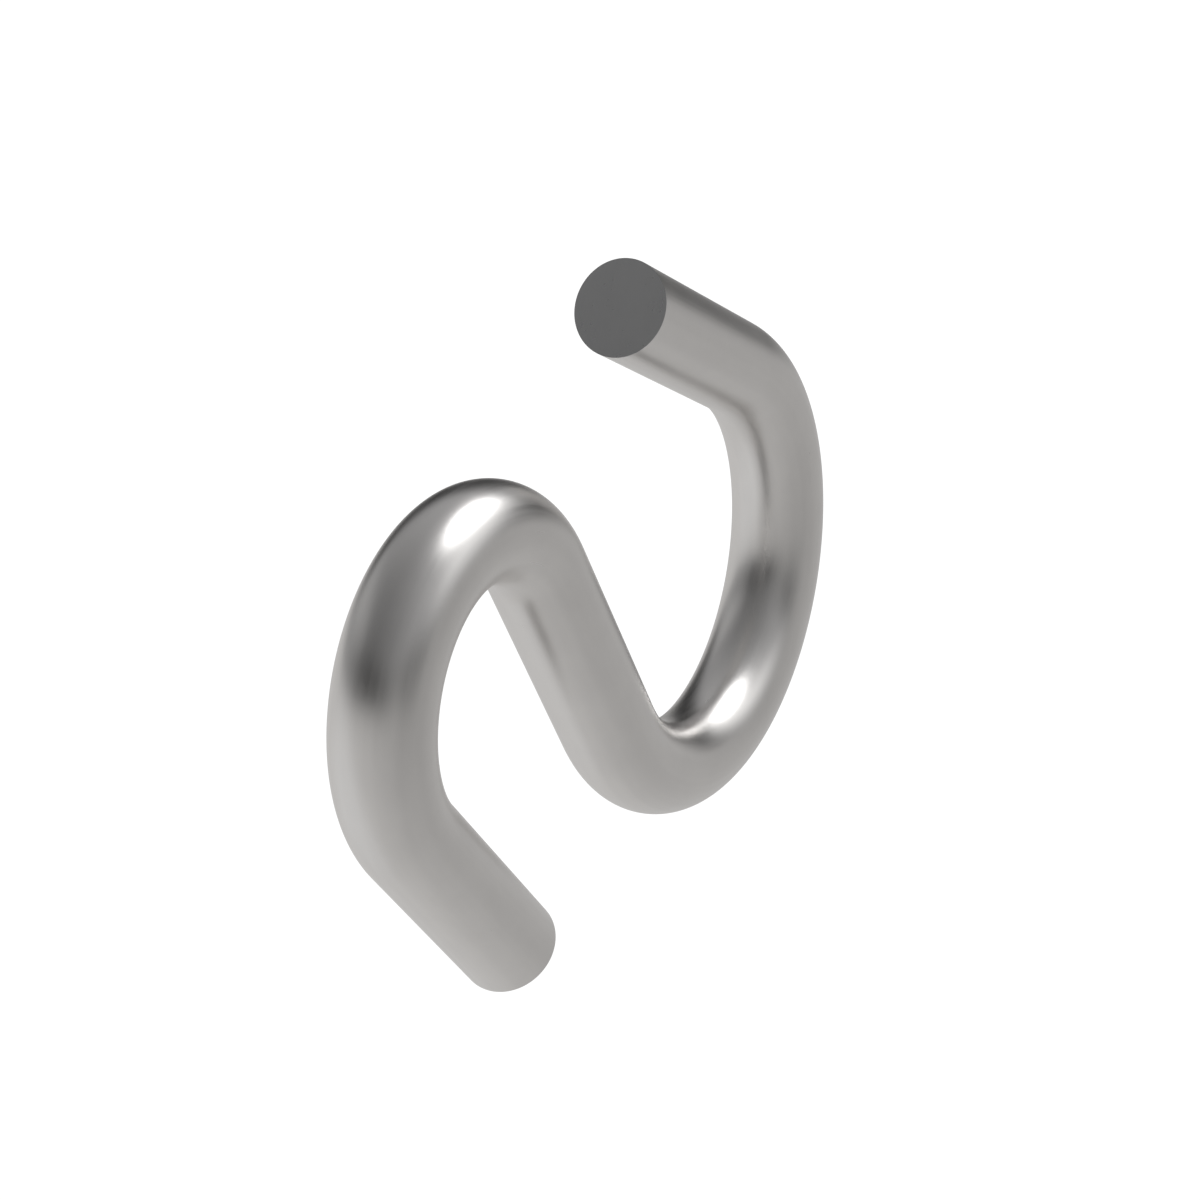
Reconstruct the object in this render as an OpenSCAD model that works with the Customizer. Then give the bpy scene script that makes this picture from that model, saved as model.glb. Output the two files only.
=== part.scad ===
// S hook bent from one length of round wire, with two bends of different size in one plane.
// It hangs from a bar in the small upper bend and carries its load in the large lower bend.
// The wire lies in the XZ plane, the centres of both bends are on the Z axis, one below the other,
// and the origin is on the inside of the upper bend, at the crown that bears on the bar.

/* [Wire] */
// Diameter of the round wire
wire_d = 5; // [3:0.1:6.5]
// Chamfer that breaks the edge of each cut end
end_chamfer = 0.15; // [0.05:0.05:0.6]

/* [Upper bend] */
// Inside radius of the small bend that hangs on the bar
upper_inside_r = 5.15; // [3.5:0.05:8]
// Angle that the wire turns through in the upper bend
upper_bend_angle = 190.34; // [182:0.01:215]
// Length of the straight tail past the upper bend
upper_tail_l = 12.3; // [4:0.1:20]

/* [Shank] */
// Length of the straight shank that runs from one bend into the other
shank_l = 12.75; // [5:0.25:22]

/* [Lower bend] */
// Inside radius of the large bend that carries the load
lower_inside_r = 8.2; // [5:0.05:12]
// Angle that the wire turns through in the lower bend, the other way
lower_bend_angle = 210.16; // [182:0.01:225]
// Length of the straight tail past the lower bend
lower_tail_l = 13.35; // [4:0.05:20]

/* [Hidden] */
$fn = 96;

wire_r = wire_d / 2;

// Radii of the bends along the middle of the wire
upper_bend_r = upper_inside_r + wire_r;
lower_bend_r = lower_inside_r + wire_r;

// The shank touches both bends on opposite sides, so it leans across the line through their
// centres, and this is the angle that it makes with it
shank_angle = atan2(upper_bend_r + lower_bend_r, shank_l);

// Straight wire from the origin along +Y
module straight(length) {
    rotate([-90, 0, 0])
        cylinder(r = wire_r, h = length);
}

// Straight wire from the origin along +Y, cut off square with its edge broken
module tail(length) {
    straight(length - end_chamfer);
    translate([0, length - end_chamfer, 0])
        rotate([-90, 0, 0])
            cylinder(r1 = wire_r, r2 = wire_r - end_chamfer, h = end_chamfer);
}

// The half of the space round a bend that is on the +Y side of its axis
module half_space(bend_r) {
    reach = bend_r + wire_d;
    translate([-reach, 0, -wire_d])
        cube([2 * reach, reach, 2 * wire_d]);
}

// Wire that turns left about the Z axis, from +X round by its angle: a whole ring,
// less the wedge between the planes in which it meets the straight wire at either end
module bend(bend_r, turn) {
    difference() {
        rotate_extrude()
            translate([bend_r, 0])
                circle(r = wire_r);
        intersection() {
            mirror([0, 1, 0])
                half_space(bend_r);
            rotate([0, 0, turn])
                half_space(bend_r);
        }
    }
}

// Wire that leaves the origin along +Y, turns left through a bend and ends in a tail
module limb(bend_r, turn, tail_l) {
    translate([-bend_r, 0, 0]) {
        bend(bend_r, turn);
        rotate([0, 0, turn])
            translate([bend_r, 0, 0])
                tail(tail_l);
    }
}

// The bent wire in the XY plane, with the shank along Y and the upper bend starting at the origin
module bent_wire() {
    limb(upper_bend_r, upper_bend_angle, upper_tail_l);
    translate([0, -shank_l, 0]) {
        straight(shank_l);
        rotate([0, 0, 180])
            limb(lower_bend_r, lower_bend_angle, lower_tail_l);
    }
}

module hook() {
    color("darkgray")
        rotate([90, 0, 0])
            translate([0, -upper_inside_r, 0])
                rotate([0, 0, -shank_angle])
                    translate([upper_bend_r, 0, 0])
                        bent_wire();
}

hook();
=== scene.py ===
import math
import bmesh
import bpy
from mathutils import Matrix, Vector


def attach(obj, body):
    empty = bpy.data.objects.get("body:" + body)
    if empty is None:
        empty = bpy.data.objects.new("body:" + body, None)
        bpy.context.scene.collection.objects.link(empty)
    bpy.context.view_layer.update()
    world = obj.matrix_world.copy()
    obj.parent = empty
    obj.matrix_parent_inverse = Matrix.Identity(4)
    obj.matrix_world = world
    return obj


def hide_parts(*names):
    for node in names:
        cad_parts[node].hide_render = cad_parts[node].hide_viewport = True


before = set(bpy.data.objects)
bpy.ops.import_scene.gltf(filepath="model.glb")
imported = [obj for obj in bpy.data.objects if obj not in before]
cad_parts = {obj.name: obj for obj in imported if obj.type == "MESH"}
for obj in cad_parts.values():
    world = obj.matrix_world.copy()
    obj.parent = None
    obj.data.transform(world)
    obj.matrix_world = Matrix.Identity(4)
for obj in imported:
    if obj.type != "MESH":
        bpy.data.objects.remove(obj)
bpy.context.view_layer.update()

mm = 0.001
print("stage: frame loaded")


def gray(level):
    return (level, level, level, 1)


def direction(azimuth, elevation):  # degrees round from the front, and up
    a, e = math.radians(azimuth), math.radians(elevation)
    return Vector((math.cos(e) * math.sin(a), -math.cos(e) * math.cos(a), math.sin(e)))


viewpoint = {
    "aim": Vector((0.883, -0.014, -17.850)) * mm,  # what the camera looks at
    "distance": 168.77 * mm,
    "azimuth": 35.012,
    "elevation": 56.311,
    "roll": -120.243,
    "lens": 101.754,
    "sensor": 36,
    "nearest": 10 * mm,
    "farthest": 20,
}


def addCamera(v):
    data = bpy.data.cameras.new("camera")
    data.lens = v["lens"]
    data.sensor_width = v["sensor"]
    data.clip_start = v["nearest"]
    data.clip_end = v["farthest"]
    camera = bpy.data.objects.new("camera", data)
    turn = Matrix.Rotation(math.radians(v["azimuth"]), 4, "Z")
    tip = Matrix.Rotation(math.radians(90 - v["elevation"]), 4, "X")
    roll = Matrix.Rotation(math.radians(v["roll"]), 4, "Z")
    back = Matrix.Translation((0, 0, v["distance"]))
    camera.matrix_world = Matrix.Translation(v["aim"]) @ turn @ tip @ back @ roll
    bpy.context.collection.objects.link(camera)
    bpy.context.scene.camera = camera


addCamera(viewpoint)
print("stage: camera set")


class Shade:  # one socket of a material, so that maths on it adds the nodes
    def __init__(self, tree, socket=None):
        self.tree = tree
        self.socket = socket

    def node(self, kind, settings, values, out=0):
        made = self.tree.nodes.new(kind)
        for name, value in settings.items():
            setattr(made, name, value)
        for name, value in values.items():
            if isinstance(value, Shade):
                self.tree.links.new(value.socket, made.inputs[name])
            else:
                made.inputs[name].default_value = value
        return Shade(self.tree, made.outputs[out] if made.outputs else None)

    def maths(self, operation, *values):
        return self.node("ShaderNodeMath", {"operation": operation}, dict(enumerate(values)))

    def __add__(self, other):
        return self.maths("ADD", self, other)

    def __radd__(self, other):
        return self.maths("ADD", other, self)

    def __sub__(self, other):
        return self.maths("SUBTRACT", self, other)

    def __rsub__(self, other):
        return self.maths("SUBTRACT", other, self)

    def __mul__(self, other):
        return self.maths("MULTIPLY", self, other)

    def __rmul__(self, other):
        return self.maths("MULTIPLY", other, self)

    def __truediv__(self, other):
        return self.maths("DIVIDE", self, other)

    def __rtruediv__(self, other):
        return self.maths("DIVIDE", other, self)

    def __pow__(self, other):
        return self.maths("POWER", self, other)

    def atLeast(self, floor):
        return self.maths("MAXIMUM", self, floor)

    def fade(self, none, full):  # 0 at none and 1 at full, eased at both
        values = {"Value": self, "From Min": none, "From Max": full}
        return self.node("ShaderNodeMapRange", {"interpolation_type": "SMOOTHSTEP"}, values)

    def dot(self, axis):
        return self.node("ShaderNodeVectorMath", {"operation": "DOT_PRODUCT"}, {0: self, 1: axis}, "Value")

    def stretch(self, scale):
        return self.node("ShaderNodeVectorMath", {"operation": "MULTIPLY"}, {0: self, 1: scale})

    def noise(self, grain):
        values = {"Vector": self.stretch(grain["cells"]), "Scale": 1, "Detail": grain["detail"]}
        return self.node("ShaderNodeTexNoise", {"noise_dimensions": "3D"}, values)

    def tinted(self, tint):
        return self.node("ShaderNodeVectorMath", {"operation": "SCALE"}, {0: tint, "Scale": self})

    def colors(self, low, high):
        sockets = {0: self, 6: low, 7: high}  # the factor and the two colours
        return self.node("ShaderNodeMix", {"data_type": "RGBA"}, sockets, 2)


def newMaterial(name):
    material = bpy.data.materials.new(name)
    material.use_nodes = True
    material.node_tree.nodes.clear()
    return material, Shade(material.node_tree)


wire = {
    "diameter": 5.0 * mm,
    "sides": 128,  # facets round the wire
    "upperInside": 5.15 * mm,  # inside radius of the small bend
    "upperBend": 190.34,  # degrees
    "upperTail": 12.3 * mm,
    "shank": 12.75 * mm,
    "lowerInside": 8.2 * mm,  # inside radius of the large bend
    "lowerBend": 210.16,
    "lowerTail": 13.35 * mm,
    "ringStep": 1.0 * mm,  # spacing of the rings on the straights
    "bendStep": 1.5,  # degrees between the rings in the bends
}


def inPlane(angle):
    return Vector((math.cos(math.radians(angle)), 0, math.sin(math.radians(angle))))


def ringEdges(bm, verts):
    chosen = set(verts)
    return [e for e in bm.edges if e.verts[0] in chosen and e.verts[1] in chosen]


class Bender:  # feeds and turns an open tube of wire, ring by ring
    def __init__(self, start, heading, radius, sides):
        self.bm = bmesh.new()
        self.straight = self.bm.verts.layers.float_vector.new("straightWire")
        self.bent = self.bm.verts.layers.float.new("bentWire")
        ring = bmesh.ops.create_circle(self.bm, radius=radius, segments=sides)["verts"]
        self.fed = 0.0
        for v in ring:
            v[self.straight] = v.co
        aim = heading.to_track_quat("Z", "Y").to_matrix().to_4x4()
        bmesh.ops.transform(self.bm, matrix=Matrix.Translation(start) @ aim, verts=ring)
        self.ring = ring
        self.heading = heading

    def push(self, length, move, bent):
        new = bmesh.ops.extrude_edge_only(self.bm, edges=ringEdges(self.bm, self.ring))["geom"]
        self.ring = [g for g in new if isinstance(g, bmesh.types.BMVert)]
        self.fed += length
        for v in self.ring:
            v[self.straight] = (v[self.straight].x, v[self.straight].y, self.fed)
            v[self.bent] = bent
        bmesh.ops.transform(self.bm, matrix=move, verts=self.ring)

    def feed(self, length, steps):
        for _ in range(steps):
            self.push(length / steps, Matrix.Translation(self.heading * (length / steps)), 0.0)

    def bend(self, centre, radius, angle, steps):
        step = Matrix.Rotation(math.radians(-angle / steps), 4, "Y")
        move = Matrix.Translation(centre) @ step @ Matrix.Translation(-centre)
        for i in range(steps):
            stillBent = 1.0 if i < steps - 1 else 0.0
            self.push(math.radians(abs(angle) / steps) * radius, move, stillBent)
        self.heading = Matrix.Rotation(math.radians(-angle), 3, "Y") @ self.heading


def hookMesh(w):
    wireRadius = w["diameter"] / 2
    upperRadius = w["upperInside"] + wireRadius
    lowerRadius = w["lowerInside"] + wireRadius
    upperCentre = Vector((0, 0, -w["upperInside"]))
    drop = math.hypot(upperRadius + lowerRadius, w["shank"])
    lowerCentre = upperCentre - Vector((0, 0, drop))
    lean = math.degrees(math.atan2(upperRadius + lowerRadius, w["shank"]))
    upperEnd = w["upperBend"] - lean  # where the upper bend runs into its tail
    outward = inPlane(upperEnd + 90)
    tip = upperCentre + inPlane(upperEnd) * upperRadius + outward * w["upperTail"]
    bender = Bender(tip, -outward, wireRadius, w["sides"])
    bender.feed(w["upperTail"], round(w["upperTail"] / w["ringStep"]))
    bender.bend(upperCentre, upperRadius, -w["upperBend"], round(w["upperBend"] / w["bendStep"]))
    bender.feed(w["shank"], round(w["shank"] / w["ringStep"]))
    bender.bend(lowerCentre, lowerRadius, w["lowerBend"], round(w["lowerBend"] / w["bendStep"]))
    bender.feed(w["lowerTail"], round(w["lowerTail"] / w["ringStep"]))
    bm = bender.bm
    rims = [e for e in bm.edges if e.is_boundary]
    bmesh.ops.holes_fill(bm, edges=rims, sides=0)  # the two flat cut ends
    for edge in rims:
        edge.smooth = False
    bmesh.ops.recalc_face_normals(bm, faces=bm.faces)
    cutEnd = bm.faces.layers.float.new("cutEnd")
    for face in bm.faces:
        face.smooth = len(face.verts) == 4  # round the wire, not on the cut ends
        face[cutEnd] = 0.0 if face.smooth else 1.0
    mesh = bpy.data.meshes.new("hook_wire")
    bm.to_mesh(mesh)
    bm.free()
    return mesh


hook = bpy.data.objects.new("hook_wire", hookMesh(wire))
bpy.context.collection.objects.link(hook)
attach(hook, "root")
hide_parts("hook")
print("stage: hook bent,", len(hook.data.polygons), "faces")


# a grain has its noise cells to the metre, across and along the wire, how far it changes
# the roughness, and how deep it is
satin = {
    "pale": (0.735, 0.721, 0.706, 1),
    "deep": (0.693, 0.679, 0.666, 1),
    "cutFace": (0.7, 0.7, 0.7, 1),
    "roughness": 0.31,
    "dieLines": {"cells": (5000, 5000, 60), "detail": 2, "rough": 0.1, "depth": 0.0008 * mm},
    "dieBands": {"cells": (1300, 1300, 45), "detail": 1},
    "cloud": {"cells": (600, 600, 420), "detail": 3, "rough": 0.08},
    "peel": {"cells": (3200, 3200, 3200), "detail": 1, "depth": 0.0009 * mm},  # on the bends only
    "sawLines": {"cells": (7000, 500, 1), "detail": 2, "rough": 0.1, "depth": 0.003 * mm},  # on the cut ends
    "toneRange": (0.3, 0.7),  # of the noise, from deep to pale
    "middle": 0.5,  # of the noise, where it changes nothing
}


def satinSteel(s):
    material, shade = newMaterial("satin_steel")
    place = shade.node("ShaderNodeAttribute", {"attribute_name": "straightWire"}, {}, "Vector")
    bent = shade.node("ShaderNodeAttribute", {"attribute_name": "bentWire"}, {}, "Fac")
    cut = shade.node("ShaderNodeAttribute", {"attribute_name": "cutEnd"}, {}, "Fac")
    lines = place.noise(s["dieLines"])
    bands = place.noise(s["dieBands"])
    cloud = place.noise(s["cloud"])
    peel = place.noise(s["peel"])
    saw = place.noise(s["sawLines"])
    tone = ((bands + cloud) / 2).fade(*s["toneRange"])
    color = cut.colors(tone.colors(s["deep"], s["pale"]), s["cutFace"])
    drawnRough = (lines - s["middle"]) * s["dieLines"]["rough"] + (cloud - s["middle"]) * s["cloud"]["rough"]
    roughness = s["roughness"] + drawnRough + cut * (saw - s["middle"]) * s["sawLines"]["rough"]
    drawnHeight = lines * s["dieLines"]["depth"] + peel * bent * s["peel"]["depth"]
    height = (1 - cut) * drawnHeight + cut * saw * s["sawLines"]["depth"]
    bump = shade.node("ShaderNodeBump", {}, {"Strength": 1, "Distance": 1, "Height": height})
    surface = shade.node("ShaderNodeBsdfPrincipled", {}, {
        "Metallic": 1,
        "Base Color": color,
        "Roughness": roughness,
        "Normal": bump,
    })
    shade.node("ShaderNodeOutputMaterial", {}, {"Surface": surface})
    return material


hook.data.materials.append(satinSteel(satin))
print("stage: steel finished")


floorCard = {
    "height": -0.56,
    "half": 4.0,
    "color": (0.86, 0.86, 0.86, 1),
    "lift": 0.2,  # brings the bare floor up to white, and leaves a shadow on it
}


def addFloor(f):
    bm = bmesh.new()
    bmesh.ops.create_grid(bm, x_segments=1, y_segments=1, size=f["half"])
    bmesh.ops.translate(bm, verts=bm.verts, vec=(0, 0, f["height"]))
    mesh = bpy.data.meshes.new("floor")
    bm.to_mesh(mesh)
    bm.free()
    floor = bpy.data.objects.new("floor", mesh)
    bpy.context.collection.objects.link(floor)
    material, shade = newMaterial("floor_paper")
    seen = [shade.node("ShaderNodeLightPath", {}, {}, ray)
            for ray in ("Is Camera Ray", "Is Glossy Ray", "Is Transmission Ray")]
    lift = (seen[0] + seen[1] + seen[2]) * f["lift"]
    paper = shade.node("ShaderNodeBsdfDiffuse", {}, {"Color": f["color"]})
    glow = shade.node("ShaderNodeEmission", {}, {"Color": lift})
    both = shade.node("ShaderNodeAddShader", {}, {0: paper, 1: glow})
    shade.node("ShaderNodeOutputMaterial", {}, {"Surface": both})
    mesh.materials.append(material)


studio = {
    "color": (1, 1, 1, 1),
    "strength": 1,
}


def addWorld(s):
    world = bpy.data.worlds.new("studio")
    bpy.context.scene.world = world
    world.use_nodes = True
    background = world.node_tree.nodes["Background"]
    background.inputs["Color"].default_value = s["color"]
    background.inputs["Strength"].default_value = s["strength"]


addFloor(floorCard)
addWorld(studio)
print("stage: floor and world set")


# what the metal reflects: a light tent, pale on one side and dimmer on the other, with soft cards on its wall
# a card has its direction from the hook, half its size in degrees, its turn, how soft
# its edge is, and its level
tent = {
    "radius": 0.5,
    "subdivisions": 4,
    "up": (95, 0),  # towards the dimmer side
    "edge": 8,  # degrees past the middle to the edge of the pale side
    "edgeSoft": 4,
    "pale": (0.53, (-0.06, 0.14, 0.01)),  # level, and how it changes across the tent
    "dim": (0.4, (-0.08, -0.09, -0.21)),
    "paleTint": (1.01, 1, 0.99),
    "dimTint": (1, 1, 1.01),
}
cards = {
    "glow": {"at": (155, 5), "half": (31, 9), "turn": -70, "soft": 0.9, "level": 0.45},
    "sideFlag": {"at": (10, 15), "half": (27, 10), "turn": 75, "soft": 0.9, "level": 0.14},
    "topFlag": {"at": (89, 73), "half": (40, 9), "turn": -7, "soft": 0.9, "level": 0.02},
    "fill": {"at": (-140, 25), "half": (36, 27), "turn": -25, "soft": 0.5, "level": 0.74},
    "lowFlag": {"at": (135, -65), "half": (53, 18), "turn": 45, "soft": 0.5, "level": 0},
    "shoulder": {"at": (43, -35), "half": (26, 13), "turn": -60, "soft": 0.7, "level": 1.1},
}
key = {
    "at": (70, -32),
    "half": (19, 15),
    "turn": -75,
    "level": 3.9,
    "distance": 0.42,  # inside the tent
    "bounces": 0,  # its highlight isn't mirrored a second time
}


def cardAxes(card):
    facing = direction(*card["at"])
    level = Vector((0, 0, 1)).cross(facing).normalized()
    turn = Matrix.Rotation(math.radians(card["turn"]), 3, facing)
    return facing, turn @ level, turn @ facing.cross(level)


leastDepth = 0.02  # so that a card isn't mirrored on the far side of the tent


def cardMask(ray, card):
    facing, across, upward = cardAxes(card)
    depth = ray.dot(facing).atLeast(leastDepth)
    x = ray.dot(across) / depth / math.tan(math.radians(card["half"][0]))
    y = ray.dot(upward) / depth / math.tan(math.radians(card["half"][1]))
    return ((x * x + y * y) ** 0.5).fade(1 + card["soft"], 1 - card["soft"])


def addTent(t, wallCards, centre):
    bm = bmesh.new()
    bmesh.ops.create_icosphere(bm, subdivisions=t["subdivisions"], radius=t["radius"])
    mesh = bpy.data.meshes.new("tent")
    bm.to_mesh(mesh)
    bm.free()
    wall = bpy.data.objects.new("tent", mesh)
    wall.location = centre
    bpy.context.collection.objects.link(wall)
    material, shade = newMaterial("tent_wall")
    place = shade.node("ShaderNodeTexCoord", {}, {}, "Object")
    ray = shade.node("ShaderNodeVectorMath", {"operation": "NORMALIZE"}, {0: place})
    low, high = (math.sin(math.radians(t["edge"] + s * t["edgeSoft"])) for s in (-1, 1))
    above = ray.dot(direction(*t["up"])).fade(low, high)
    pale, dim = ((t[side][0] + ray.dot(t[side][1])).atLeast(0) for side in ("pale", "dim"))
    color = above.colors(pale.tinted(t["paleTint"]), dim.tinted(t["dimTint"]))
    for card in wallCards.values():
        color = cardMask(ray, card).colors(color, gray(card["level"]))
    light = shade.node("ShaderNodeEmission", {}, {"Color": color})
    shade.node("ShaderNodeOutputMaterial", {}, {"Surface": light})
    material.cycles.emission_sampling = "NONE"
    mesh.materials.append(material)
    wall.visible_camera = False
    wall.visible_diffuse = False
    wall.visible_shadow = False


def addKey(k, centre):
    facing, across, upward = cardAxes(k)
    data = bpy.data.lights.new("key", "AREA")
    data.shape = "ELLIPSE"
    data.size = 2 * k["distance"] * math.tan(math.radians(k["half"][0]))
    data.size_y = 2 * k["distance"] * math.tan(math.radians(k["half"][1]))
    area = math.pi / 4 * data.size * data.size_y
    data.energy = k["level"] * math.pi * area  # in watts
    data.cycles.max_bounces = k["bounces"]
    lamp = bpy.data.objects.new("key", data)
    turn = Matrix((across, upward, facing)).transposed().to_4x4()
    lamp.matrix_world = Matrix.Translation(centre + facing * k["distance"]) @ turn
    lamp.visible_camera = False
    bpy.context.collection.objects.link(lamp)


addTent(tent, cards, viewpoint["aim"])
addKey(key, viewpoint["aim"])
print("stage: studio lit")

bpy.context.scene.view_settings.view_transform = "Standard"
